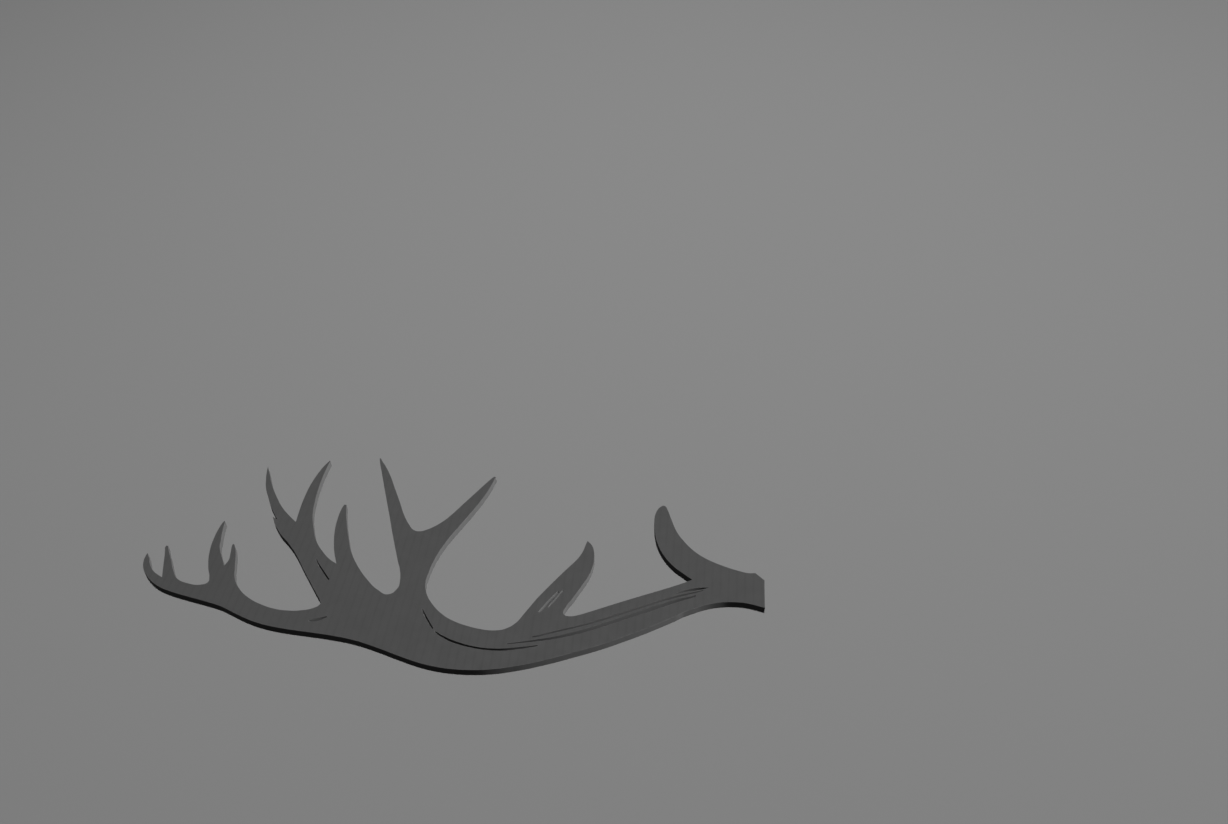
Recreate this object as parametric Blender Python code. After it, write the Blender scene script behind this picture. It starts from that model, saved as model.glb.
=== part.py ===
"""Flat antler cut-out.

One level sheet with upright edges, in the outline of a stag's antler: a long curved beam that ends
in a straight butt, with brow, bez and trez tines, a three-pointed crown and three small tines near
the beam's end. Narrow slits run along the beam and the lower tines, right through the sheet.
The sheet is parted with fine saw cuts at its main forks, one object for each part.

The plan is drawn in millimetres: x along the antler from its middle towards the butt, y across it
from the beam's lowest edge towards the tips. The origin of the finished part is the middle of its
box, on the underside, with +Z up.
"""
import math

import bmesh
import bpy
from mathutils import Vector

MM = 0.001

# Driving sizes, in millimetres
SHEET_THICKNESS = 3.0
SAW_CUT = 0.3
WELD_DISTANCE = 0.002

# Straight pieces between two neighbouring points of a curved edge
EDGE_STEPS = 6
SLIT_STEPS = 3

# Colour and surface of the sheet
SHEET_COLOUR = (0.075, 0.075, 0.077, 1.0)
SHEET_ROUGHNESS = 0.7

# The edge of the sheet, walked with the sheet on the left. Each stretch starts at a sharp corner,
# such as a tine's tip or a narrow fork, and runs smoothly through its points to the next corner.
BEAM_EDGE = [
    [(-113.7, 51.4), (-113.9, 50.0), (-113.9, 48.0), (-112.6, 43.8), (-109.2, 39.4),
     (-105.0, 36.0), (-100.0, 33.6), (-93.0, 31.2), (-86.0, 29.0), (-80.0, 26.9),
     (-75.0, 24.3), (-70.0, 21.7), (-65.0, 19.6), (-60.0, 18.1), (-54.0, 16.8), (-46.0, 15.5),
     (-38.0, 14.1), (-30.0, 12.2), (-22.0, 9.3), (-14.0, 5.9), (-6.0, 2.8), (0.0, 1.2),
     (6.0, 0.3), (12.0, 0.0), (18.0, 0.25), (25.0, 1.3), (35.0, 3.7), (44.9, 6.8), (55.0, 10.3),
     (62.0, 13.2), (70.0, 16.8), (77.0, 20.3)],
    [(81.5, 22.6)],
    [(83.7, 24.0), (87.0, 25.4), (91.0, 27.0), (96.0, 28.2), (101.0, 28.55), (106.5, 28.0)],
]
BUTT_EDGE = [
    [(112.7, 26.0)],
    [(113.9, 38.5)],
]
BROW_TINE_EDGE = [
    [(110.9, 41.9), (108.5, 41.85), (105.0, 42.9), (100.0, 45.0), (96.0, 47.1), (92.0, 49.8),
     (88.5, 53.3), (86.0, 56.8), (83.3, 61.9), (81.5, 68.2), (80.2, 73.3), (79.6, 75.0),
     (78.7, 75.65), (77.6, 75.1), (76.2, 73.3), (75.1, 70.0), (74.8, 65.0), (75.1, 59.5),
     (76.1, 54.7), (78.1, 49.8), (81.0, 45.3), (84.3, 41.9)],
]
BEZ_TINE_EDGE = [
    [(87.7, 38.8), (85.0, 37.5), (77.0, 34.3), (70.0, 31.7), (62.0, 28.7), (56.0, 26.35),
     (50.0, 24.0), (46.0, 22.65), (43.6, 22.4), (42.1, 22.9), (41.65, 23.9), (42.5, 26.4),
     (45.0, 30.6), (47.4, 35.0), (50.1, 40.2), (51.6, 44.6), (52.15, 49.0), (51.8, 53.4),
     (51.0, 55.6)],
    [(49.5, 57.4), (48.9, 55.7), (47.8, 52.1), (46.0, 48.7), (42.0, 43.6), (38.0, 38.4),
     (34.5, 33.7), (31.8, 29.9), (28.1, 23.9), (25.1, 19.4), (21.6, 16.95), (18.0, 16.3),
     (14.0, 16.7), (8.0, 18.4), (3.0, 20.6), (-1.0, 23.4), (-5.0, 27.9), (-7.6, 32.6),
     (-8.6, 37.5), (-8.0, 42.3), (-7.2, 46.5), (-3.8, 56.3), (0.7, 65.1), (4.8, 72.7),
     (8.5, 80.3), (10.7, 86.0)],
]
TREZ_TINE_EDGE = [
    [(12.3, 91.4)],
    [(11.6, 91.6), (10.5, 90.4), (9.1, 88.5), (5.0, 82.6), (1.0, 76.8), (-3.0, 71.0), (-5.3, 68.1),
     (-8.7, 65.0), (-11.9, 63.0), (-14.3, 62.3), (-16.5, 63.0), (-18.8, 66.0), (-21.5, 71.2),
     (-24.0, 77.6), (-27.2, 85.4), (-30.1, 92.4), (-33.0, 98.0), (-34.4, 100.2)],
    [(-35.4, 102.1)],
    [(-36.0, 102.2), (-35.3, 99.3), (-33.2, 92.0), (-29.9, 80.5), (-26.8, 70.0), (-24.1, 60.5),
     (-21.2, 50.9), (-19.0, 44.2), (-18.0, 38.5), (-18.4, 34.8), (-21.3, 32.1), (-25.1, 34.0),
     (-30.0, 39.0), (-34.1, 44.6), (-38.0, 51.8), (-40.6, 59.6), (-42.4, 66.0), (-43.8, 72.1)],
]
CROWN_EDGE = [
    [(-44.5, 76.1)],
    [(-45.4, 76.2), (-46.0, 74.1), (-46.55, 68.0), (-46.4, 62.5), (-45.6, 57.0), (-44.4, 51.8)],
    [(-42.6, 46.4), (-45.0, 48.1), (-47.8, 51.0), (-52.3, 57.6), (-54.4, 63.2), (-56.4, 70.6),
     (-57.1, 78.0), (-57.2, 84.5), (-56.8, 92.0)],
    [(-55.7, 100.7)],
    [(-56.0, 100.8), (-57.5, 98.1), (-59.2, 93.5), (-60.7, 87.8), (-61.7, 81.0), (-62.15, 73.0)],
    [(-62.2, 67.2), (-65.3, 70.3), (-69.2, 74.9), (-72.5, 80.2), (-76.0, 86.9), (-78.4, 93.0),
     (-79.5, 95.6)],
    [(-80.3, 97.4), (-80.1, 95.0), (-79.4, 90.6), (-78.0, 85.0), (-75.7, 79.6), (-73.8, 75.4),
     (-72.3, 72.8), (-70.9, 70.4)],
    [(-69.5, 68.3)],
    [(-71.6, 69.8), (-70.9, 68.1), (-70.1, 66.4), (-68.5, 63.7), (-66.4, 60.7), (-62.4, 56.2),
     (-58.7, 51.2), (-54.0, 43.5), (-46.9, 32.2), (-45.0, 29.1), (-44.7, 27.7),
     (-46.3, 26.2), (-51.0, 24.95), (-55.5, 24.9), (-60.0, 25.6), (-65.3, 27.5), (-71.0, 30.8),
     (-75.5, 35.2), (-78.0, 39.5), (-79.4, 45.0), (-81.0, 52.0), (-81.9, 54.4)],
]
SMALL_TINE_EDGE = [
    [(-82.6, 55.8)],
    [(-83.2, 55.9), (-83.3, 54.8), (-83.1, 53.4), (-82.8, 50.8), (-82.6, 48.3)],
    [(-83.5, 45.4), (-84.9, 48.4), (-87.5, 54.0), (-88.2, 58.0), (-89.1, 65.3)],
    [(-89.2, 67.3)],
    [(-89.6, 67.7), (-90.0, 66.8), (-90.5, 64.6), (-91.1, 59.5), (-90.9, 52.5), (-89.2, 44.7),
     (-87.4, 39.8), (-87.3, 37.6), (-89.8, 36.5), (-94.2, 37.1), (-98.8, 39.3), (-101.5, 43.3),
     (-104.0, 48.6), (-106.3, 53.1)],
    [(-107.1, 55.0)],
    [(-107.8, 55.2), (-108.0, 54.2), (-107.7, 53.1), (-107.2, 51.3), (-106.0, 46.0)],
    [(-104.6, 40.0), (-106.2, 41.0), (-109.0, 43.3), (-111.0, 46.3), (-112.1, 48.9),
     (-112.9, 50.2)],
    [(-113.4, 51.3)],
]
OUTLINE = (BEAM_EDGE + BUTT_EDGE + BROW_TINE_EDGE + BEZ_TINE_EDGE + TREZ_TINE_EDGE
           + CROWN_EDGE + SMALL_TINE_EDGE)

# Slits: each point of the middle line with the slit's width there
SLITS = [
    [(-50.5, 48.5, 0.45), (-49.2, 46.3, 0.5), (-47.4, 43.8, 0.53), (-45.7, 41.4, 0.56),
     (-44.3, 39.5, 0.56), (-43.75, 38.8, 0.48)],
    [(-47.1, 20.45, 0.45), (-45.9, 20.6, 0.9), (-44.4, 20.9, 1.26), (-43.0, 21.4, 1.18),
     (-41.8, 21.9, 0.74), (-41.2, 22.15, 0.42)],
    [(-8.2, 25.6, 0.44), (-7.4, 23.85, 0.52), (-6.4, 22.05, 0.61), (-5.6, 20.65, 0.63),
     (-4.7, 19.15, 0.58), (-3.9, 17.95, 0.5), (-3.35, 17.05, 0.4)],
    [(-2.45, 15.9, 0.36), (-0.9, 14.55, 0.55), (0.8, 13.45, 0.7), (3.4, 12.0, 0.82),
     (6.2, 10.85, 0.8), (9.0, 9.9, 0.76), (14.9, 8.6, 0.72), (20.9, 8.25, 0.86), (23.8, 8.45, 0.86),
     (26.8, 8.85, 0.8), (29.8, 9.3, 0.62), (31.8, 9.65, 0.5), (33.4, 9.9, 0.25)],
    [(22.8, 10.65, 0.25), (26.8, 11.15, 0.48), (32.7, 12.05, 0.7), (38.6, 13.1, 1.0),
     (44.4, 14.65, 1.22), (50.1, 16.5, 1.3), (58.5, 19.8, 1.4), (66.8, 23.2, 1.46),
     (75.2, 26.6, 1.5), (80.7, 28.75, 1.3), (84.0, 29.85, 1.1), (88.6, 31.35, 0.48)],
    [(31.1, 13.55, 0.5), (33.0, 13.85, 0.74), (37.8, 15.35, 0.72), (43.6, 17.0, 0.7),
     (49.3, 18.7, 0.78), (55.0, 20.75, 0.9), (60.6, 22.9, 0.9), (66.1, 25.15, 0.88),
     (71.7, 27.35, 0.85), (77.3, 29.55, 0.84), (83.0, 31.4, 0.82), (88.8, 33.0, 0.62),
     (91.4, 33.8, 0.38)],
    [(81.2, 32.4, 0.25), (83.3, 33.05, 0.62), (85.2, 33.65, 0.75), (87.7, 34.15, 0.97),
     (89.6, 34.5, 0.93), (91.1, 34.7, 0.82), (92.3, 34.9, 0.45), (93.4, 35.15, 0.15)],
    [(33.0, 24.2, 0.5), (33.8, 25.25, 0.78), (34.8, 26.75, 0.78), (36.0, 28.65, 0.76),
     (37.2, 30.25, 0.74), (38.4, 31.85, 0.74), (39.5, 33.35, 0.55)],
    [(36.3, 26.3, 0.28), (37.0, 27.6, 0.54), (38.0, 29.0, 0.52), (39.0, 30.45, 0.46),
     (39.9, 32.05, 0.46), (40.7, 33.2, 0.44), (41.2, 34.05, 0.28)],
]

# Saw cuts across the main forks, each from free space to free space
FORK_CUTS = [
    ((86.6, 38.95), (99.5, 46.6)),
    ((42.3, 23.9), (25.2, 21.3)),
    ((-18.6, 37.2), (-7.7, 38.5)),
    ((-16.6, 64.0), (-24.8, 60.2)),
    ((-11.8, 63.9), (-1.0, 60.2)),
    ((-45.4, 28.6), (-24.8, 35.0)),
    ((-43.4, 47.4), (-33.4, 45.4)),
    ((-62.75, 68.1), (-70.0, 64.4)),
    ((-62.45, 68.5), (-54.9, 67.9)),
    ((-50.6, 26.0), (-51.6, 15.6)),
    ((-87.9, 37.9), (-76.2, 37.4)),
    ((-83.5, 46.4), (-78.9, 45.6)),
    ((-105.0, 41.0), (-96.8, 38.9)),
]

# One point on the edge of each part, by which its piece of the sheet is known
PART_MARKS = {
    "main_beam": (112.7, 26.0),
    "brow_tine": (78.7, 75.6),
    "bez_tine": (49.5, 57.4),
    "trez_stem": (-7.0, 46.4),
    "trez_rear_tine": (12.3, 91.4),
    "trez_front_tine": (-36.0, 102.2),
    "crown_stem": (-54.0, 43.5),
    "crown_inner_tine": (-44.5, 76.1),
    "crown_middle_tine": (-56.0, 100.8),
    "crown_outer_tine": (-80.3, 97.4),
    "upper_beam": (-113.7, 51.4),
    "beam_short_tine": (-83.2, 55.9),
    "beam_long_tine": (-89.6, 67.7),
    "beam_end_tine": (-107.8, 55.2),
}


def clear_scene():
    """Remove every object, so that the part starts from an empty scene."""
    for old in list(bpy.data.objects):
        bpy.data.objects.remove(old, do_unlink=True)


def sheet_material(name):
    """Matt dark grey of the sheet, as a material of its own for one part."""
    material = bpy.data.materials.new(name)
    material.use_nodes = True
    shader = material.node_tree.nodes["Principled BSDF"]
    shader.inputs["Base Color"].default_value = SHEET_COLOUR
    shader.inputs["Roughness"].default_value = SHEET_ROUGHNESS
    shader.inputs["Metallic"].default_value = 0.0
    return material


def add_loop(curve, points, corners, steps):
    """Add one closed spline that is smooth at its points and sharp at the given corners."""
    spline = curve.splines.new("BEZIER")
    spline.bezier_points.add(len(points) - 1)
    spline.use_cyclic_u = True
    spline.resolution_u = steps
    for place, (knot, (x, y)) in enumerate(zip(spline.bezier_points, points)):
        knot.co = (x * MM, y * MM, 0.0)
        knot.handle_left_type = "VECTOR" if place in corners else "AUTO"
        knot.handle_right_type = knot.handle_left_type


def add_outline(curve):
    """Join the stretches of the sheet's edge into one loop with a corner where each starts."""
    points = []
    corners = set()
    for stretch in OUTLINE:
        corners.add(len(points))
        points.extend(stretch)
    add_loop(curve, points, corners, EDGE_STEPS)


def slit_sides(middle):
    """Points round a slit, and the places of the four corners at its two ends."""
    line = [Vector((x, y)) for x, y, _ in middle]
    last = len(line) - 1
    left, right = [], []
    for place, (_, _, width) in enumerate(middle):
        along = (line[min(place + 1, last)] - line[max(place - 1, 0)]).normalized()
        across = Vector((-along.y, along.x))
        left.append(line[place] + across * width / 2)
        right.append(line[place] - across * width / 2)
    return right + left[::-1], {0, last, last + 1, 2 * last + 1}


def slitted_sheet():
    """The whole sheet with its slits, drawn as one flat filled curve and given its thickness."""
    curve = bpy.data.curves.new("sheet_outline", "CURVE")
    curve.dimensions = "2D"
    curve.fill_mode = "BOTH"
    curve.extrude = SHEET_THICKNESS * MM / 2
    add_outline(curve)
    for middle in SLITS:
        points, corners = slit_sides(middle)
        add_loop(curve, points, corners, SLIT_STEPS)
    sheet = bpy.data.objects.new("sheet", curve)
    bpy.context.collection.objects.link(sheet)
    return sheet


def welded_mesh(source, name):
    """A closed mesh object of a filled curve, with its faces and walls joined, on z = 0."""
    graph = bpy.context.evaluated_depsgraph_get()
    mesh = bpy.data.meshes.new_from_object(source.evaluated_get(graph))
    work = bmesh.new()
    work.from_mesh(mesh)
    bmesh.ops.remove_doubles(work, verts=work.verts, dist=WELD_DISTANCE * MM)
    bmesh.ops.translate(work, verts=work.verts, vec=(0.0, 0.0, SHEET_THICKNESS * MM / 2))
    bmesh.ops.recalc_face_normals(work, faces=work.faces)
    work.to_mesh(mesh)
    work.free()
    solid = bpy.data.objects.new(name, mesh)
    bpy.context.collection.objects.link(solid)
    return solid


def add_blade(work, start, end):
    """One upright blade as wide as a saw cut, standing past both faces of the sheet."""
    along = Vector(end) - Vector(start)
    side = Vector((-along.y, along.x)).normalized() * SAW_CUT / 2
    low, high = -SHEET_THICKNESS, 2 * SHEET_THICKNESS
    base = [Vector(start) + side, Vector(start) - side, Vector(end) - side, Vector(end) + side]
    verts = [work.verts.new((p.x * MM, p.y * MM, low * MM)) for p in base]
    foot = work.faces.new(verts)
    grown = bmesh.ops.extrude_face_region(work, geom=[foot])
    top = [item for item in grown["geom"] if isinstance(item, bmesh.types.BMVert)]
    bmesh.ops.translate(work, verts=top, vec=(0.0, 0.0, (high - low) * MM))


def fork_blades():
    """All the saw cuts as one cutter."""
    work = bmesh.new()
    for start, end in FORK_CUTS:
        add_blade(work, start, end)
    bmesh.ops.recalc_face_normals(work, faces=work.faces)
    mesh = bpy.data.meshes.new("fork_blades")
    work.to_mesh(mesh)
    work.free()
    cutter = bpy.data.objects.new("fork_blades", mesh)
    cutter.hide_render = True
    cutter.display_type = "WIRE"
    bpy.context.collection.objects.link(cutter)
    return cutter


def cut_mesh(solid, cutter):
    """The mesh of the sheet after the saw cuts."""
    cut = solid.modifiers.new("fork_cuts", "BOOLEAN")
    cut.operation = "DIFFERENCE"
    cut.object = cutter
    graph = bpy.context.evaluated_depsgraph_get()
    return bpy.data.meshes.new_from_object(solid.evaluated_get(graph))


def islands(work):
    """The separate pieces of a mesh, each as the set of its faces."""
    waiting = set(work.faces)
    found = []
    while waiting:
        piece = set()
        reached = [waiting.pop()]
        while reached:
            face = reached.pop()
            piece.add(face)
            for edge in face.edges:
                for neighbour in edge.link_faces:
                    if neighbour in waiting:
                        waiting.discard(neighbour)
                        reached.append(neighbour)
        found.append(piece)
    return found


def part_name(piece):
    """The name whose mark lies nearest to a vertex of the piece."""
    places = {vert for face in piece for vert in face.verts}
    nearest = {}
    for name, (x, y) in PART_MARKS.items():
        nearest[name] = min(math.hypot(v.co.x - x * MM, v.co.y - y * MM) for v in places)
    return min(nearest, key=nearest.get)


def make_part(piece, name, middle):
    """One part of the sheet as an object of its own, placed about the middle of the box."""
    work = bmesh.new()
    copies = {}
    for face in piece:
        for vert in face.verts:
            if vert not in copies:
                copies[vert] = work.verts.new(vert.co - middle)
        work.faces.new([copies[vert] for vert in face.verts])
    bmesh.ops.recalc_face_normals(work, faces=work.faces)
    mesh = bpy.data.meshes.new(name)
    work.to_mesh(mesh)
    work.free()
    mesh.materials.append(sheet_material(f"{name}_sheet"))
    part = bpy.data.objects.new(name, mesh)
    bpy.context.collection.objects.link(part)


def box_middle(mesh):
    """The middle of the mesh's box, on its underside."""
    xs = [vert.co.x for vert in mesh.vertices]
    ys = [vert.co.y for vert in mesh.vertices]
    return Vector(((min(xs) + max(xs)) / 2, (min(ys) + max(ys)) / 2, 0.0))


def build():
    """Cut the sheet from its outline, part it at the forks and name the parts."""
    clear_scene()
    sheet = slitted_sheet()
    solid = welded_mesh(sheet, "whole_sheet")
    cutter = fork_blades()
    mesh = cut_mesh(solid, cutter)
    middle = box_middle(mesh)
    work = bmesh.new()
    work.from_mesh(mesh)
    for piece in islands(work):
        make_part(piece, part_name(piece), middle)
    work.free()
    for helper in (sheet, solid, cutter):
        bpy.data.objects.remove(helper, do_unlink=True)


build()
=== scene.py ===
"""Looks of the flat antler cut-out: one dark grey sheet with upright cut edges and narrow slits.

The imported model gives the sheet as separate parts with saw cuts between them. The real sheet has no
saw cuts, so its outline is read from the upper faces of the parts, joined across the cuts, and the
sheet is grown again from it as one closed piece with softened edges.
"""
import logging
import math
from collections.abc import Iterator
from dataclasses import dataclass
from enum import Enum

import bmesh
import bpy
import numpy as np
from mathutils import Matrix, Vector


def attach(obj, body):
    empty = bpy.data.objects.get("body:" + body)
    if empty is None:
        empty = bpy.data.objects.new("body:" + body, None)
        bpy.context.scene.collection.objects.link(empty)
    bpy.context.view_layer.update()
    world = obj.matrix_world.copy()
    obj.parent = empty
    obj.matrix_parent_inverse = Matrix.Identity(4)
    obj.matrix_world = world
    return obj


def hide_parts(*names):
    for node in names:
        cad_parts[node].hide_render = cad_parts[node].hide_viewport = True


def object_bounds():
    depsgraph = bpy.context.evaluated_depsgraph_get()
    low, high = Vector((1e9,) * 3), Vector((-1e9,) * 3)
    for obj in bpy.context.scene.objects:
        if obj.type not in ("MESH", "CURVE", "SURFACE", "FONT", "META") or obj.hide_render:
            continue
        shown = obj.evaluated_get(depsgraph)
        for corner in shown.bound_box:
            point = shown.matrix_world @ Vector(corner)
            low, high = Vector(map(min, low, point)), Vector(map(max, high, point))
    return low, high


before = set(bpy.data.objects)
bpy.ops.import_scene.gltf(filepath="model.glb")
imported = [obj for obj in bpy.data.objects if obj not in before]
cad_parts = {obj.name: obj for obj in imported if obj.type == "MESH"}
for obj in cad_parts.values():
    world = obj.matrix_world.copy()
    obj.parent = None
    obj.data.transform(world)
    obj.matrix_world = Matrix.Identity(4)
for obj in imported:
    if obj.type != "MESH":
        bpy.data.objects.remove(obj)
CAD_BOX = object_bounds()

logger = logging.getLogger("antler")

MM = 0.001
ROOT_BODY = "root"

Edge = tuple[tuple[float, float], tuple[float, float]]
Colour = tuple[float, float, float, float]
Sockets = bpy.types.bpy_prop_collection


class Zone(Enum):
    """The two finishes of the sheet, by where on it they lie."""

    FACE = "sheet_face"
    CUT_EDGE = "sheet_cut_edge"


class Panel(Enum):
    """Shapes of the studio's soft light panels."""

    ROUND = "DISK"
    SQUARE = "SQUARE"


def grey(level: float) -> Colour:
    """A neutral colour of one linear level."""
    return (level, level, level, 1.0)


def heading(flow: np.ndarray) -> np.ndarray:
    """Unit vectors along the given ones.

    Args:
        flow: Vectors in the plane, one in each row.

    Returns:
        The vectors with length one.
    """
    return flow / np.linalg.norm(flow, axis=-1, keepdims=True)


def left_of(flow: np.ndarray) -> np.ndarray:
    """Vectors turned a quarter turn to the left, in the plane."""
    return np.stack([-flow[..., 1], flow[..., 0]], axis=-1)


class TreeSketch:
    """Adds nodes to a node tree, left to right, and joins their sockets."""

    COLUMN = 190.0

    def __init__(self, tree: bpy.types.NodeTree) -> None:
        """Start on an empty tree.

        Args:
            tree: The node tree to fill.
        """
        self.tree = tree
        self.tree.nodes.clear()

    def add(self, kind: str, feeds: dict | None = None, **settings: object) -> bpy.types.Node:
        """Add one node.

        Args:
            kind: The node's type.
            feeds: For an input's name or number, a value or the socket that feeds it.
            settings: The node's own settings.

        Returns:
            The new node.
        """
        node = self.tree.nodes.new(kind)
        node.location = (self.COLUMN * len(self.tree.nodes), 0.0)
        for setting, value in settings.items():
            setattr(node, setting, value)
        for place, value in (feeds or {}).items():
            if isinstance(value, bpy.types.NodeSocket):
                self.tree.links.new(value, node.inputs[place])
            else:
                node.inputs[place].default_value = value
        return node

    def math(self, operation: str, *terms: object) -> bpy.types.NodeSocket:
        """Add a Math node and give its result.

        Args:
            operation: The name of the sum.
            terms: Its numbers or sockets, in order.

        Returns:
            The socket that holds the result.
        """
        node = self.add("ShaderNodeMath", dict(enumerate(terms)), operation=operation)
        return node.outputs["Value"]


@dataclass
class SheetOutline:
    """Edge of the whole sheet and of its slits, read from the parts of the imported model.

    Every loop runs with the sheet on its left, so the edge goes round anticlockwise and the slits
    clockwise.
    """

    weld: float = 0.0005 * MM
    level_face: float = 0.9
    saw_cut: float = 0.3 * MM
    saw_cut_slack: float = 0.05 * MM
    corner_turn: float = math.radians(18.0)
    tip_radius: float = 0.03 * MM
    fork_radius: float = 0.06 * MM
    slit_end_radius: float = 0.05 * MM
    longest_cut_back: float = 1.0 * MM
    cut_back_share: float = 0.45
    arc_turn: float = math.radians(28.0)
    fewest_steps: int = 3
    spacing: float = 0.6 * MM
    closest: float = 0.012 * MM

    def top_edges(self, node: bpy.types.Object) -> list[Edge]:
        """The edges round the upper face of one part.

        Args:
            node: The part, whose own mesh stays as it is.

        Returns:
            Each edge as its start and end, with the part on its left.
        """
        work = bmesh.new()
        work.from_mesh(node.data)
        bmesh.ops.remove_doubles(work, verts=work.verts, dist=self.weld)
        work.normal_update()
        edges = []
        for face in work.faces:
            if face.normal.z < self.level_face:
                continue
            for corner in face.loops:
                beside = [other for other in corner.edge.link_faces if other is not face]
                if all(other.normal.z < self.level_face for other in beside):
                    start = corner.vert.co
                    end = corner.link_loop_next.vert.co
                    edges.append(((start.x, start.y), (end.x, end.y)))
        work.free()
        return edges

    def lies_on_cut(self, edge: Edge, others: np.ndarray) -> bool:
        """Whether an edge is one side of a saw cut, with another part just across from it.

        Args:
            edge: The edge to test.
            others: The edges of the other parts.

        Returns:
            True if another part's edge runs the other way, one cut's width away.
        """
        start, end = np.array(edge)
        along = heading(end - start)
        probe = (start + end) / 2 - left_of(along) * self.saw_cut
        base = others[:, 0]
        span = others[:, 1] - base
        length = np.linalg.norm(span, axis=1)
        share = np.clip(((probe - base) * span).sum(1) / length**2, 0.0, 1.0)
        gap = np.linalg.norm(base + span * share[:, None] - probe, axis=1)
        against = (span @ along) / length < -self.level_face
        return bool((against & (gap < self.saw_cut_slack)).any())

    def free_edges(self) -> list[Edge]:
        """The parts' edges without those along the saw cuts."""
        by_part = {name: self.top_edges(node) for name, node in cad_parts.items()}
        kept = []
        for name, edges in by_part.items():
            others = np.array([edge for other, found in by_part.items() if other != name for edge in found])
            kept.extend(edge for edge in edges if not self.lies_on_cut(edge, others))
        return kept

    def joined(self, edges: list[Edge]) -> Iterator[np.ndarray]:
        """Chain edges into closed loops, each open end across a saw cut to the nearest open start.

        Args:
            edges: The edges, in any order.

        Yields:
            The points of one loop.
        """
        following = dict(edges)
        reached = set(following.values())
        open_starts = [start for start in following if start not in reached]
        open_ends = [end for end in reached if end not in following]
        pairs = sorted((math.dist(end, start), end, start) for end in open_ends for start in open_starts)
        for _, end, start in pairs:
            if end in open_ends and start in open_starts:
                following[end] = start
                open_ends.remove(end)
                open_starts.remove(start)
        while following:
            first = min(following)
            loop = []
            place = first
            while place in following:
                loop.append(place)
                place = following.pop(place)
            yield np.array(loop)

    def turns(self, loop: np.ndarray) -> np.ndarray:
        """How far a loop turns at each of its points, in radians, to the left above zero."""
        into = heading(loop - np.roll(loop, 1, axis=0))
        out = heading(np.roll(loop, -1, axis=0) - loop)
        return np.arctan2((left_of(into) * out).sum(1), (into * out).sum(1))

    def radius(self, turn: float, slit: bool) -> float:
        """Radius that the cutter leaves at a corner.

        Args:
            turn: How far the edge turns there.
            slit: Whether the corner belongs to a slit.

        Returns:
            The radius in metres.
        """
        if slit:
            return self.slit_end_radius
        return self.tip_radius if turn > 0 else self.fork_radius

    def arc(self, start: np.ndarray, end: np.ndarray, turn: float) -> list[np.ndarray]:
        """Points of a round corner, both ends included.

        Args:
            start: Where the arc leaves the edge.
            end: Where it meets the edge again.
            turn: How far it turns, to the left above zero.

        Returns:
            The points in order.
        """
        chord = end - start
        radius = np.linalg.norm(chord) / (2 * math.sin(abs(turn) / 2))
        cos, sin = math.cos(turn / 2), math.sin(turn / 2)
        along = heading(np.array([cos * chord[0] + sin * chord[1], cos * chord[1] - sin * chord[0]]))
        across = left_of(along) * math.copysign(1.0, turn)
        steps = max(self.fewest_steps, math.ceil(abs(turn) / self.arc_turn))
        swept = [abs(turn) * step / steps for step in range(steps + 1)]
        return [start + radius * (math.sin(a) * along + (1 - math.cos(a)) * across) for a in swept]

    def rounded(self, loop: np.ndarray, slit: bool) -> np.ndarray:
        """Give a loop's sharp corners their small radius.

        Args:
            loop: The loop's points.
            slit: Whether it is a slit.

        Returns:
            The points of the loop with its corners rounded.
        """
        turn = self.turns(loop)
        corners = [int(place) for place in np.nonzero(np.abs(turn) > self.corner_turn)[0]]
        if not corners:
            return loop
        loop = np.roll(loop, -corners[0], axis=0)
        turn = np.roll(turn, -corners[0])
        corners = [place - corners[0] for place in corners] + [len(loop)]
        ring = np.vstack([loop, loop[:1]])
        run = np.concatenate([[0.0], np.cumsum(np.linalg.norm(np.diff(ring, axis=0), axis=1))])
        room = np.diff(run[corners])
        backs = []
        for order, place in enumerate(corners[:-1]):
            half_angle = (math.pi - abs(turn[place])) / 2
            back = self.radius(turn[place], slit) / math.tan(half_angle)
            spare = self.cut_back_share * min(room[order], room[order - 1])
            backs.append(min(back, self.longest_cut_back, spare))
        backs.append(backs[0])

        def at(distance: float) -> np.ndarray:
            """The point of the loop after a distance along it."""
            place = distance % run[-1]
            return np.array([np.interp(place, run, ring[:, axis]) for axis in (0, 1)])

        points: list[np.ndarray] = []
        for order, place in enumerate(corners[:-1]):
            start = at(run[place] - backs[order])
            end = at(run[place] + backs[order])
            points.extend(self.arc(start, end, turn[place]))
            first, last = run[place] + backs[order], run[corners[order + 1]] - backs[order + 1]
            between = (run > first + self.closest) & (run < last - self.closest)
            points.extend(ring[between])
        return np.array(points)

    def filled_in(self, loop: np.ndarray) -> np.ndarray:
        """Points along a loop no further apart than the spacing.

        Args:
            loop: The loop's points.

        Returns:
            The loop with points added on its long straight pieces and double ones left out.
        """
        loop = loop[np.linalg.norm(loop - np.roll(loop, 1, axis=0), axis=1) > self.closest]
        points = []
        for start, end in zip(loop, np.roll(loop, -1, axis=0)):
            pieces = max(1, math.ceil(np.linalg.norm(end - start) / self.spacing))
            points.extend(start + (end - start) * piece / pieces for piece in range(pieces))
        return np.array(points)

    def loops(self) -> list[np.ndarray]:
        """The edge of the sheet first, then its slits, ready to be grown."""
        found = []
        for loop in self.joined(self.free_edges()):
            x, y = loop.T
            area = (x * np.roll(y, -1) - y * np.roll(x, -1)).sum() / 2
            found.append((-area, self.filled_in(self.rounded(loop, slit=area < 0))))
        found.sort(key=lambda pair: pair[0])
        return [loop for _, loop in found]


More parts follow.
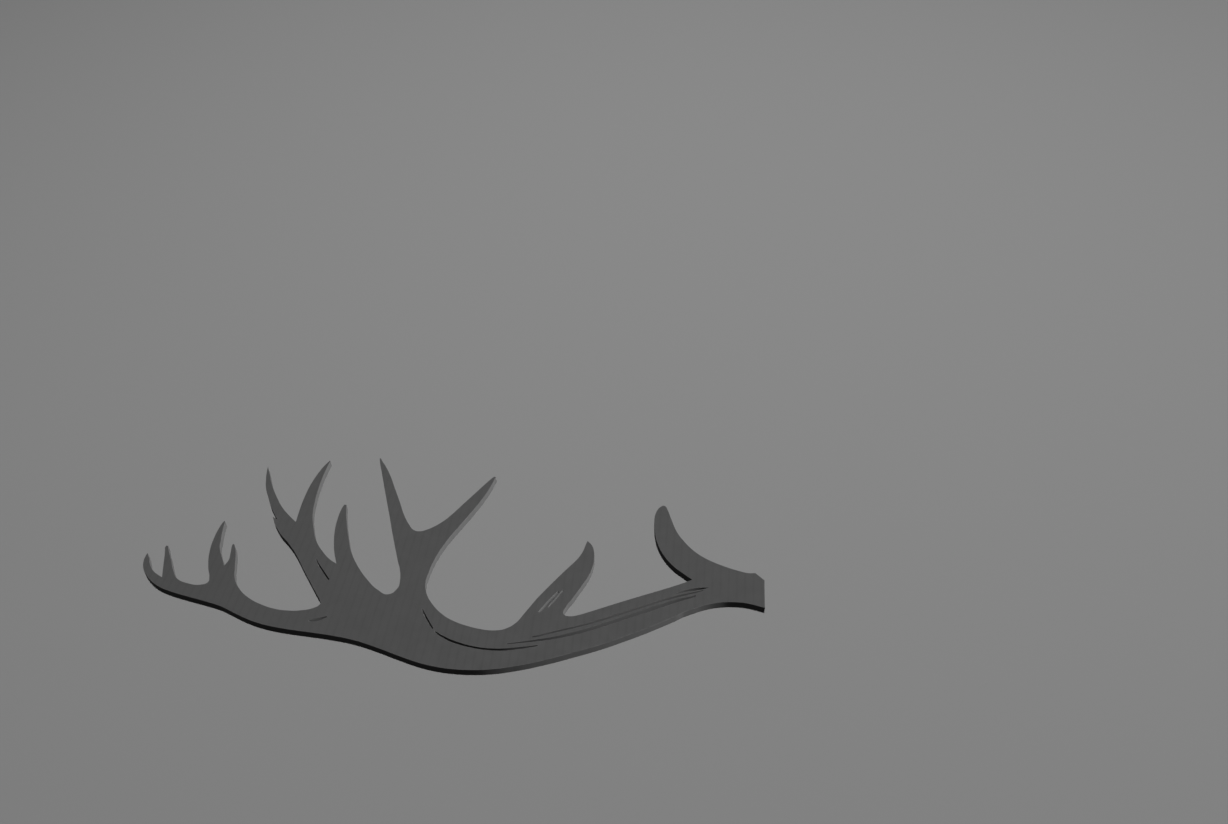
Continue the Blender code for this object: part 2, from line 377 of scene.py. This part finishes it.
@dataclass
class AntlerSheet:
    """The antler: one flat sheet, grown from its outline with a softened edge on both faces."""

    edge_break: float = 0.07 * MM
    slit_softness: float = 0.2
    rim_width: float = 0.5 * MM
    support: float = 0.12 * MM
    rim_share: float = 0.6
    break_share: float = 0.35
    widest_room: float = 20.0 * MM
    longest_mitre: float = 1.2
    least_height: float = 0.0001 * MM
    weld: float = 0.001 * MM

    RINGS = 10
    ROUND_RING = 2.0
    SIDE_FROM_RING = 1.2
    ROUND_MIDDLE = 1 - math.cos(math.radians(45.0))
    ATTRIBUTES = ("home", "inward", "room", "ring")

    @property
    def thickness(self) -> float:
        """Thickness of the sheet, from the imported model."""
        low, high = CAD_BOX
        return high.z - low.z

    def inward(self, loop: np.ndarray) -> np.ndarray:
        """Directions into the sheet at a loop's points, long enough to keep an inset even.

        Args:
            loop: The loop's points.

        Returns:
            One vector in the plane for each point.
        """
        before = left_of(heading(loop - np.roll(loop, 1, axis=0)))
        after = left_of(heading(np.roll(loop, -1, axis=0) - loop))
        middle = heading(before + after)
        mitre = 1 / np.maximum((middle * after).sum(1), 1 / self.longest_mitre)
        return middle * mitre[:, None]

    def room(self, points: np.ndarray, inward: np.ndarray) -> np.ndarray:
        """Radius of the largest circle inside the sheet that touches its edge at each point.

        Args:
            points: All points of all loops.
            inward: The directions into the sheet there.

        Returns:
            One radius for each point.
        """
        into = heading(inward)
        radii = np.full(len(points), self.widest_room)
        for place, (point, normal) in enumerate(zip(points, into)):
            reach = points - point
            height = reach @ normal
            ahead = height > self.least_height
            if ahead.any():
                touching = (reach[ahead] ** 2).sum(1) / (2 * height[ahead])
                radii[place] = min(radii[place], touching.min())
        return radii

    def wires(self, loops: list[np.ndarray]) -> bpy.types.Object:
        """The loops as a mesh of edges, with what the sheet is grown by at each point.

        Args:
            loops: The edge of the sheet and its slits.

        Returns:
            The object that the sheet is grown on.
        """
        points = np.vstack(loops)
        inward = np.vstack([self.inward(loop) for loop in loops])
        room = self.room(points, inward)
        edges = []
        first = 0
        for loop in loops:
            count = len(loop)
            edges.extend((first + place, first + (place + 1) % count) for place in range(count))
            first += count
        mesh = bpy.data.meshes.new("antler_outline")
        flat = np.zeros((len(points), 1))
        mesh.from_pydata(np.hstack([points, flat]).tolist(), edges, [])
        directions = mesh.attributes.new("inward", "FLOAT_VECTOR", "POINT")
        directions.data.foreach_set("vector", np.hstack([inward, flat]).astype(np.float32).ravel())
        radii = mesh.attributes.new("room", "FLOAT", "POINT")
        radii.data.foreach_set("value", room.astype(np.float32))
        in_slit = np.arange(len(points)) >= len(loops[0])
        slit = mesh.attributes.new("slit", "FLOAT", "POINT")
        slit.data.foreach_set("value", in_slit.astype(np.float32))
        wires = bpy.data.objects.new("antler_outline", mesh)
        bpy.context.scene.collection.objects.link(wires)
        return wires

    def sockets(self) -> list[tuple[str, str, object]]:
        """The named inputs of the growing tree: name, socket type and value."""
        return [
            ("Thickness", "NodeSocketFloat", self.thickness),
            ("Edge Break", "NodeSocketFloat", self.edge_break),
            ("Rim Width", "NodeSocketFloat", self.rim_width),
            ("Support", "NodeSocketFloat", self.support),
            ("Face Finish", "NodeSocketMaterial", bpy.data.materials[Zone.FACE.value]),
            ("Cut Edge Finish", "NodeSocketMaterial", bpy.data.materials[Zone.CUT_EDGE.value]),
        ]

    def named(self, sketch: TreeSketch, name: str, kind: str = "FLOAT") -> bpy.types.NodeSocket:
        """A stored attribute as a socket.

        Args:
            sketch: The tree's sketch.
            name: The attribute's name.
            kind: Its data type.

        Returns:
            The socket that holds it.
        """
        node = sketch.add("GeometryNodeInputNamedAttribute", {"Name": name}, data_type=kind)
        return node.outputs["Attribute"]

    def store(self, sketch: TreeSketch, geometry: bpy.types.NodeSocket, name: str,
              value: object, kind: str = "FLOAT") -> bpy.types.NodeSocket:
        """Store an attribute on the points of a geometry.

        Args:
            sketch: The tree's sketch.
            geometry: The geometry's socket.
            name: The attribute's name.
            value: Its value, or the socket that holds it.
            kind: Its data type.

        Returns:
            The socket of the geometry with the attribute.
        """
        feeds = {"Geometry": geometry, "Name": name, "Value": value}
        node = sketch.add("GeometryNodeStoreNamedAttribute", feeds, data_type=kind, domain="POINT")
        return node.outputs["Geometry"]

    def inset_place(self, sketch: TreeSketch, reach: object, share: object,
                    height: object) -> bpy.types.NodeSocket:
        """Where a point of the edge lies after it moves into the sheet.

        Args:
            sketch: The tree's sketch.
            reach: How far it moves where there is room.
            share: The most that it moves, as a share of the room.
            height: Its height over the underside.

        Returns:
            The socket that holds the place.
        """
        limit = sketch.math("MULTIPLY", self.named(sketch, "room"), share)
        inset = sketch.math("MINIMUM", reach, limit)
        moved = sketch.add("ShaderNodeVectorMath", {
            0: self.named(sketch, "inward", "FLOAT_VECTOR"), "Scale": inset}, operation="SCALE")
        lifted = sketch.add("ShaderNodeCombineXYZ", {"Z": height})
        placed = sketch.add("ShaderNodeVectorMath", {
            0: self.named(sketch, "home", "FLOAT_VECTOR"), 1: moved.outputs["Vector"]}, operation="ADD")
        raised = sketch.add("ShaderNodeVectorMath", {
            0: placed.outputs["Vector"], 1: lifted.outputs["Vector"]}, operation="ADD")
        return raised.outputs["Vector"]

    def ring_sizes(self, sketch: TreeSketch, sizes: Sockets,
                   from_face: bpy.types.NodeSocket) -> bpy.types.Node:
        """Inset, share of the room and depth of each ring of points, counted in from a face.

        Args:
            sketch: The tree's sketch.
            sizes: The sockets of the tree's named sizes.
            from_face: The ring's number, counted from the nearer face.

        Returns:
            The node whose X, Y and Z hold the three.
        """
        sharper = sketch.math("MULTIPLY", self.named(sketch, "slit"), 1 - self.slit_softness)
        edge_break = sketch.math("MULTIPLY", sizes["Edge Break"], sketch.math("SUBTRACT", 1.0, sharper))
        middle = sketch.math("MULTIPLY", edge_break, self.ROUND_MIDDLE)
        supported = sketch.math("ADD", edge_break, sizes["Support"])
        rows = [
            (sizes["Rim Width"], self.rim_share, 0.0),
            (edge_break, self.break_share, 0.0),
            (middle, self.break_share * self.ROUND_MIDDLE, middle),
            (0.0, 0.0, edge_break),
            (0.0, 0.0, supported),
        ]
        switch = sketch.add("GeometryNodeIndexSwitch", data_type="VECTOR")
        while len(switch.index_switch_items) < len(rows):
            switch.index_switch_items.new()
        sketch.tree.links.new(from_face, switch.inputs["Index"])
        for number, (reach, share, depth) in enumerate(rows):
            row = sketch.add("ShaderNodeCombineXYZ", {"X": reach, "Y": share, "Z": depth})
            sketch.tree.links.new(row.outputs["Vector"], switch.inputs[str(number)])
        return sketch.add("ShaderNodeSeparateXYZ", {"Vector": switch.outputs["Output"]})

    def from_face(self, sketch: TreeSketch) -> bpy.types.NodeSocket:
        """The number of a point's ring, counted from the nearer face."""
        ring = self.named(sketch, "ring")
        return sketch.math("MINIMUM", ring, sketch.math("SUBTRACT", self.RINGS - 1.0, ring))

    def grown_side(self, sketch: TreeSketch, curve: bpy.types.NodeSocket,
                   sizes: Sockets) -> bpy.types.NodeSocket:
        """The rims, rounded edges and wall, swept along the edge of the sheet and its slits.

        Args:
            sketch: The tree's sketch.
            curve: The socket of the loops as curves.
            sizes: The sockets of the tree's named sizes.

        Returns:
            The socket of the swept mesh.
        """
        line = sketch.add("GeometryNodeMeshLine", {"Count": self.RINGS})
        index = sketch.add("GeometryNodeInputIndex")
        numbered = self.store(sketch, line.outputs["Mesh"], "ring", index.outputs["Index"])
        profile = sketch.add("GeometryNodeMeshToCurve", {"Mesh": numbered})
        swept = sketch.add("GeometryNodeCurveToMesh", {
            "Curve": curve, "Profile Curve": profile.outputs["Curve"]})
        row = self.ring_sizes(sketch, sizes, self.from_face(sketch))
        lower = sketch.add("FunctionNodeCompare", {
            "A": self.named(sketch, "ring"), "B": (self.RINGS - 1) / 2},
            data_type="FLOAT", operation="GREATER_THAN")
        from_top = sketch.math("SUBTRACT", sizes["Thickness"], row.outputs["Z"])
        height = sketch.add("GeometryNodeSwitch", {
            "Switch": lower.outputs["Result"], "False": from_top, "True": row.outputs["Z"]},
            input_type="FLOAT")
        place = self.inset_place(
            sketch, row.outputs["X"], row.outputs["Y"], height.outputs["Output"])
        placed = sketch.add("GeometryNodeSetPosition", {
            "Geometry": swept.outputs["Mesh"], "Position": place})
        return placed.outputs["Geometry"]

    def grown_faces(self, sketch: TreeSketch, curve: bpy.types.NodeSocket,
                    sizes: Sockets) -> list[bpy.types.NodeSocket]:
        """The upper face and the underside, inside their rims.

        Args:
            sketch: The tree's sketch.
            curve: The socket of the loops as curves.
            sizes: The sockets of the tree's named sizes.

        Returns:
            The sockets of the two filled faces.
        """
        place = self.inset_place(sketch, sizes["Rim Width"], self.rim_share, 0.0)
        inner = sketch.add("GeometryNodeSetPosition", {"Geometry": curve, "Position": place})
        filled = sketch.add("GeometryNodeFillCurve", {"Curve": inner.outputs["Geometry"]}, mode="TRIANGLES")
        lift = sketch.add("ShaderNodeCombineXYZ", {"Z": sizes["Thickness"]})
        upper = sketch.add("GeometryNodeTransform", {
            "Geometry": filled.outputs["Mesh"], "Translation": lift.outputs["Vector"]})
        under = sketch.add("GeometryNodeFlipFaces", {"Mesh": filled.outputs["Mesh"]})
        return [
            self.store(sketch, upper.outputs["Geometry"], "ring", 0.0),
            self.store(sketch, under.outputs["Mesh"], "ring", self.RINGS - 1.0),
        ]

    def growing_tree(self) -> bpy.types.NodeTree:
        """The Geometry Nodes that turn the outline into the sheet."""
        tree = bpy.data.node_groups.new("grow_antler_sheet", "GeometryNodeTree")
        tree.interface.new_socket("Outline", in_out="INPUT", socket_type="NodeSocketGeometry")
        for name, kind, _ in self.sockets():
            tree.interface.new_socket(name, in_out="INPUT", socket_type=kind)
        tree.interface.new_socket("Sheet", in_out="OUTPUT", socket_type="NodeSocketGeometry")
        sketch = TreeSketch(tree)
        sizes = sketch.add("NodeGroupInput").outputs
        here = sketch.add("GeometryNodeInputPosition")
        homed = self.store(sketch, sizes["Outline"], "home", here.outputs["Position"], "FLOAT_VECTOR")
        curve = sketch.add("GeometryNodeMeshToCurve", {"Mesh": homed}).outputs["Curve"]
        joined = sketch.add("GeometryNodeJoinGeometry")
        for part in [self.grown_side(sketch, curve, sizes), *self.grown_faces(sketch, curve, sizes)]:
            tree.links.new(part, joined.inputs["Geometry"])
        merged = sketch.add("GeometryNodeMergeByDistance", {
            "Geometry": joined.outputs["Geometry"], "Distance": self.weld})
        apart = sketch.math("SUBTRACT", self.from_face(sketch), self.ROUND_RING)
        from_round = sketch.math("ABSOLUTE", apart)
        worn = sketch.math("MINIMUM", sketch.math("SUBTRACT", self.ROUND_RING, from_round), 1.0)
        marked = self.store(sketch, merged.outputs["Geometry"], "edge_wear", worn)
        side = sketch.add("FunctionNodeCompare", {
            "A": self.from_face(sketch), "B": self.SIDE_FROM_RING},
            data_type="FLOAT", operation="GREATER_THAN").outputs["Result"]
        smooth = sketch.add("GeometryNodeSetShadeSmooth", {"Geometry": marked, "Shade Smooth": side})
        geometry = smooth.outputs["Geometry"]
        whole = sketch.add("GeometryNodeRealizeInstances", {"Geometry": geometry})
        faced = sketch.add("GeometryNodeSetMaterial", {
            "Geometry": whole.outputs["Geometry"], "Material": sizes["Face Finish"]})
        edged = sketch.add("GeometryNodeSetMaterial", {
            "Geometry": faced.outputs["Geometry"], "Selection": side, "Material": sizes["Cut Edge Finish"]})
        sketch.add("NodeGroupOutput", {"Sheet": edged.outputs["Geometry"]})
        return tree

    def grown(self, wires: bpy.types.Object) -> bpy.types.Mesh:
        """Run the growing tree on the outline and keep its result as a plain mesh.

        Args:
            wires: The outline as a mesh of edges.

        Returns:
            The mesh of the whole sheet.
        """
        tree = self.growing_tree()
        growth = wires.modifiers.new("grow", "NODES")
        growth.node_group = tree
        places = {item.name: item.identifier for item in tree.interface.items_tree if item.in_out == "INPUT"}
        for name, _, value in self.sockets():
            growth[places[name]] = value
        graph = bpy.context.evaluated_depsgraph_get()
        mesh = bpy.data.meshes.new_from_object(
            wires.evaluated_get(graph), preserve_all_data_layers=True, depsgraph=graph)
        wires.modifiers.remove(growth)
        bpy.data.objects.remove(wires, do_unlink=True)
        return mesh

    def closed(self, mesh: bpy.types.Mesh) -> bool:
        """Turn all faces outwards and say whether the mesh is one closed surface.

        Args:
            mesh: The mesh of the sheet.

        Returns:
            True if each edge has just two faces.
        """
        work = bmesh.new()
        work.from_mesh(mesh)
        bmesh.ops.recalc_face_normals(work, faces=work.faces)
        whole = all(edge.is_manifold for edge in work.edges)
        work.to_mesh(mesh)
        work.free()
        return whole

    def build(self) -> bpy.types.Object:
        """Make the sheet and hang it on the frame in place of its parts.

        Returns:
            The finished piece.
        """
        loops = SheetOutline().loops()
        mesh = self.grown(self.wires(loops))
        for name in self.ATTRIBUTES:
            if name in mesh.attributes:
                mesh.attributes.remove(mesh.attributes[name])
        whole = self.closed(mesh)
        mesh.name = "antler_sheet"
        sheet = bpy.data.objects.new("antler_sheet", mesh)
        sheet.visible_diffuse = False
        sheet.visible_glossy = False
        bpy.context.scene.collection.objects.link(sheet)
        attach(sheet, ROOT_BODY)
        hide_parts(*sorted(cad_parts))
        logger.info("%s: %d loops, %d faces, closed %s", sheet.name, len(loops), len(mesh.polygons), whole)
        return sheet


@dataclass(frozen=True)
class Finish:
    """What both finishes share: mottled grey, fine grain, and edges a little worn and paler."""

    level: float = 0.09
    mottle: float = 0.02
    mottle_size: float = 16 * MM
    mottle_detail: float = 4.0
    grain_size: float = 0.4 * MM
    grain_height: float = 0.004 * MM
    grain_detail: float = 3.0
    worn_tone: float = 1.35
    worn_patch: float = 2.5 * MM
    worn_falloff: float = 3.0
    roughness: tuple[float, float] = (0.62, 0.76)
    roughness_share: float = 0.25
    gloss: float = 0.3

    CLOUD_LOW = 0.3
    CLOUD_HIGH = 0.7
    FIRST_COLOUR = 6
    SECOND_COLOUR = 7
    MIXED_COLOUR = 2

    def places(self, sketch: TreeSketch, turn: float = 0.0, upright: float = 1.0) -> bpy.types.NodeSocket:
        """Places on the object for the textures.

        Args:
            sketch: The material's sketch.
            turn: Angle by which the pattern is turned in the plane.
            upright: Scale along the height, near zero for marks that run straight up.

        Returns:
            The socket that holds them.
        """
        here = sketch.add("ShaderNodeTexCoord")
        mapped = sketch.add("ShaderNodeMapping", {
            "Vector": here.outputs["Object"], "Rotation": (0.0, 0.0, turn), "Scale": (1.0, 1.0, upright)})
        return mapped.outputs["Vector"]

    def noise(self, sketch: TreeSketch, places: bpy.types.NodeSocket, size: float, low: float,
              high: float, detail: float = 2.0) -> bpy.types.NodeSocket:
        """Soft noise between two values.

        Args:
            sketch: The material's sketch.
            places: Where it is read.
            size: Width of its patches in metres.
            low: Its value in the lowest patches.
            high: Its value in the highest patches.
            detail: How many finer layers it has.

        Returns:
            The socket that holds it.
        """
        cloud = sketch.add("ShaderNodeTexNoise", {"Vector": places, "Scale": 1 / size, "Detail": detail})
        spread = sketch.add("ShaderNodeMapRange", {
            "Value": cloud.outputs["Fac"], "From Min": self.CLOUD_LOW, "From Max": self.CLOUD_HIGH,
            "To Min": low, "To Max": high})
        return spread.outputs["Result"]

    def blend(self, sketch: TreeSketch, share: bpy.types.NodeSocket, low: object,
              high: object) -> bpy.types.NodeSocket:
        """A colour between two others.

        Args:
            sketch: The material's sketch.
            share: Share of the second colour.
            low: The first colour or its socket.
            high: The second colour or its socket.

        Returns:
            The socket that holds it.
        """
        feeds = {0: share, self.FIRST_COLOUR: low, self.SECOND_COLOUR: high}
        node = sketch.add("ShaderNodeMix", feeds, data_type="RGBA")
        return node.outputs[self.MIXED_COLOUR]

    def mottled(self, sketch: TreeSketch, places: bpy.types.NodeSocket) -> bpy.types.NodeSocket:
        """The grey in broad, hardly darker and paler patches."""
        patches = self.noise(sketch, places, self.mottle_size, 0.0, 1.0, detail=self.mottle_detail)
        dark, pale = grey(self.level * (1 - self.mottle)), grey(self.level * (1 + self.mottle))
        return self.blend(sketch, patches, dark, pale)

    def worn(self, sketch: TreeSketch, places: bpy.types.NodeSocket,
             colour: bpy.types.NodeSocket) -> bpy.types.NodeSocket:
        """Pale the colour in patches along the sheet's edges.

        Args:
            sketch: The material's sketch.
            places: Where its noise is read.
            colour: The colour before wear.

        Returns:
            The socket of the colour with wear.
        """
        edge = sketch.add("ShaderNodeAttribute", attribute_name="edge_wear").outputs["Fac"]
        patches = self.noise(sketch, places, self.worn_patch, 0.0, 1.0)
        share = sketch.math("MULTIPLY", sketch.math("POWER", edge, self.worn_falloff), patches)
        return self.blend(sketch, share, colour, grey(self.level * self.worn_tone))

    def grained(self, sketch: TreeSketch, places: bpy.types.NodeSocket) -> bpy.types.NodeSocket:
        """Direction of the surface with its fine grain."""
        grain = self.noise(sketch, places, self.grain_size, 0.0, 1.0, detail=self.grain_detail)
        bump = sketch.add("ShaderNodeBump", {"Height": grain, "Distance": self.grain_height})
        return bump.outputs["Normal"]

    def surface(self, sketch: TreeSketch, places: bpy.types.NodeSocket, colour: bpy.types.NodeSocket,
                normal: bpy.types.NodeSocket) -> None:
        """Join colour, roughness and direction into the matt surface.

        Args:
            sketch: The material's sketch.
            places: Where the roughness is read.
            colour: The colour.
            normal: The direction with its grain.
        """
        smooth, rough = self.roughness
        shader = sketch.add("ShaderNodeBsdfPrincipled", {
            "Base Color": colour,
            "Roughness": self.noise(
                sketch, places, self.mottle_size * self.roughness_share, smooth, rough),
            "Specular IOR Level": self.gloss,
            "Normal": normal})
        sketch.add("ShaderNodeOutputMaterial", {"Surface": shader.outputs["BSDF"]})


@dataclass(frozen=True)
class SheetFace(Finish):
    """Matt dark grey face with faint parallel streaks of painted shadow across the antler."""

    streak_gap: float = 2.95 * MM
    streak_turn: float = math.radians(5.0)
    # Darkness of the painted shadow streaks.
    streak_tone: float = 0.925
    streak_faintest: float = 0.5
    streak_patch: float = 9 * MM
    streak_detail: float = 2.0
    streak_wander: float = 1.2
    streak_wander_scale: float = 0.3
    streak_from: float = 0.7

    WAVE_SCALE = math.pi / 10

    def streaks(self, sketch: TreeSketch) -> bpy.types.NodeSocket:
        """Share of the painted shadow streaks' tone: thin lines, fainter in places."""
        places = self.places(sketch, turn=self.streak_turn)
        waves = sketch.add("ShaderNodeTexWave", {
            "Vector": places, "Scale": self.WAVE_SCALE / self.streak_gap,
            "Distortion": self.streak_wander, "Detail": self.streak_detail,
            "Detail Scale": self.streak_wander_scale},
            wave_type="BANDS", bands_direction="X")
        lines = sketch.add("ShaderNodeMapRange", {
            "Value": waves.outputs["Fac"], "From Min": self.streak_from})
        strength = self.noise(sketch, places, self.streak_patch, self.streak_faintest, 1.0)
        return sketch.math("MULTIPLY", lines.outputs["Result"], strength)

    def material(self) -> bpy.types.Material:
        """Make the finish."""
        material = bpy.data.materials.new(Zone.FACE.value)
        material.use_nodes = True
        sketch = TreeSketch(material.node_tree)
        places = self.places(sketch)
        # Painted shadow: faint darker stripes laid into the face's colour.
        shadow_streaked = self.blend(
            sketch, self.streaks(sketch), self.mottled(sketch, places), grey(self.level * self.streak_tone))
        colour = self.worn(sketch, places, shadow_streaked)
        self.surface(sketch, places, colour, self.grained(sketch, places))
        return material


@dataclass(frozen=True)
class CutEdge(Finish):
    """The same grey on the upright cut edge, with fine marks straight up and painted shade deep in the
    slits.
    """

    mottle: float = 0.05
    mottle_size: float = 3 * MM
    grain_size: float = 0.5 * MM
    roughness: tuple[float, float] = (0.55, 0.7)
    upright: float = 0.04
    # Painted shade in the slits: its tone, and the heights between which the walls darken.
    dust_tone: float = 0.82
    dust_top: float = 2.9 * MM
    dust_foot: float = 0.6 * MM

    def dusted(self, sketch: TreeSketch, colour: bpy.types.NodeSocket) -> bpy.types.NodeSocket:
        """Darken the colour towards the foot of the slits' walls, as painted shade in the recess.

        Args:
            sketch: The material's sketch.
            colour: The colour before the painted shade.

        Returns:
            The socket of the colour with the painted shade.
        """
        # Painted shade: the slits' walls are darkened in colour towards their foot.
        slit = sketch.add("ShaderNodeAttribute", attribute_name="slit").outputs["Fac"]
        here = sketch.add("ShaderNodeSeparateXYZ", {"Vector": self.places(sketch)})
        depth = sketch.add("ShaderNodeMapRange", {
            "Value": here.outputs["Z"], "From Min": self.dust_top, "From Max": self.dust_foot})
        share = sketch.math("MULTIPLY", slit, depth.outputs["Result"])
        return self.blend(sketch, share, colour, grey(self.level * self.dust_tone))

    def material(self) -> bpy.types.Material:
        """Make the finish."""
        material = bpy.data.materials.new(Zone.CUT_EDGE.value)
        material.use_nodes = True
        sketch = TreeSketch(material.node_tree)
        places = self.places(sketch, upright=self.upright)
        # The slits' walls get painted shade towards their foot.
        dusted = self.dusted(sketch, self.mottled(sketch, places))
        colour = self.worn(sketch, self.places(sketch), dusted)
        self.surface(sketch, places, colour, self.grained(sketch, places))
        return material


@dataclass(frozen=True)
class SoftPanel:
    """One even light panel that is turned to the object and casts no shadow."""

    name: str
    shape: Panel
    place: tuple[float, float, float]
    width: float
    power: float
    aim: tuple[float, float, float] = (0.0, 0.0, 0.0)

    def build(self) -> bpy.types.Object:
        """Hang the panel."""
        data = bpy.data.lights.new(self.name, "AREA")
        data.shape = self.shape.value
        data.size = self.width
        data.energy = self.power
        data.use_shadow = False
        panel = bpy.data.objects.new(self.name, data)
        panel.location = self.place
        panel.rotation_euler = (Vector(self.aim) - Vector(self.place)).to_track_quat("-Z", "Y").to_euler()
        bpy.context.scene.collection.objects.link(panel)
        return panel


@dataclass
class Studio:
    """Plain floor and soft light round the object."""

    floor_half_width: float = 3.0
    floor_gap: float = 0.05 * MM
    floor_level: float = 0.345
    side_distance: float = 3.5
    side_elevation: float = math.radians(4.0)
    side_width: float = 0.3
    side_power: float = 186.0
    top_place: tuple[float, float, float] = (0.0985, 0.2557, 1.25)
    top_width: float = 0.4
    top_power: float = 8.25
    back_place: tuple[float, float, float] = (-0.3, 2.0, 0.75)
    back_width: float = 0.5
    back_power: float = 4.0
    sky_level: float = 0.045

    def floor(self) -> bpy.types.Object:
        """A wide level floor just under the sheet."""
        half = self.floor_half_width
        corners = [(-half, -half), (half, -half), (half, half), (-half, half)]
        mesh = bpy.data.meshes.new("studio_floor")
        mesh.from_pydata([(x, y, -self.floor_gap) for x, y in corners], [], [(0, 1, 2, 3)])
        material = bpy.data.materials.new("studio_floor")
        material.use_nodes = True
        shader = material.node_tree.nodes["Principled BSDF"]
        shader.inputs["Base Color"].default_value = grey(self.floor_level)
        shader.inputs["Roughness"].default_value = 1.0
        shader.inputs["Specular IOR Level"].default_value = 0.0
        mesh.materials.append(material)
        floor = bpy.data.objects.new("studio_floor", mesh)
        floor.visible_diffuse = False
        floor.visible_glossy = False
        bpy.context.scene.collection.objects.link(floor)
        return floor

    def panels(self) -> list[SoftPanel]:
        """A low panel at the butt's side, one high over the floor, and a faint one behind."""
        away, rise = math.cos(self.side_elevation), math.sin(self.side_elevation)
        side = (self.side_distance * away, 0.0, self.side_distance * rise)
        x, y, _ = self.top_place
        return [
            SoftPanel("side_panel", Panel.SQUARE, side, self.side_width, self.side_power),
            SoftPanel(
                "top_panel", Panel.ROUND, self.top_place, self.top_width, self.top_power, aim=(x, y, 0.0)),
            SoftPanel("back_panel", Panel.SQUARE, self.back_place, self.back_width, self.back_power),
        ]

    def sky(self) -> None:
        """A dim even surround."""
        world = bpy.data.worlds.new("studio")
        world.use_nodes = True
        world.node_tree.nodes["Background"].inputs["Color"].default_value = grey(self.sky_level)
        bpy.context.scene.world = world

    def build(self) -> None:
        """Set the floor and the light."""
        self.floor()
        for panel in self.panels():
            panel.build()
        self.sky()
        bpy.context.scene.view_settings.view_transform = "Standard"
        logger.info("studio: floor, %d soft panels and surround", len(self.panels()))


@dataclass(frozen=True)
class PhotoCamera:
    """The camera where the photograph's stood."""

    place: tuple[float, float, float] = (0.05945, -0.2590, 0.3006)
    down: float = math.radians(41.314)
    lens: float = 30.92
    sensor: float = 36.0
    nearest: float = 0.01

    def build(self) -> bpy.types.Object:
        """Stand the camera and make it the scene's."""
        data = bpy.data.cameras.new("photo_camera")
        data.lens = self.lens
        data.sensor_width = self.sensor
        data.clip_start = self.nearest
        camera = bpy.data.objects.new("photo_camera", data)
        camera.location = self.place
        camera.rotation_euler = (math.pi / 2 - self.down, 0.0, 0.0)
        bpy.context.scene.collection.objects.link(camera)
        bpy.context.scene.camera = camera
        logger.info("camera: %.2f mm lens, %.1f degrees down", self.lens, math.degrees(self.down))
        return camera


def main() -> None:
    """Dress the finishes, build the sheet, and set the studio and the camera round it."""
    logging.basicConfig(level=logging.INFO, format="%(name)s: %(message)s")
    for finish in (SheetFace(), CutEdge()):
        finish.material()
    AntlerSheet().build()
    PhotoCamera().build()
    Studio().build()


if __name__ == "__main__":
    main()
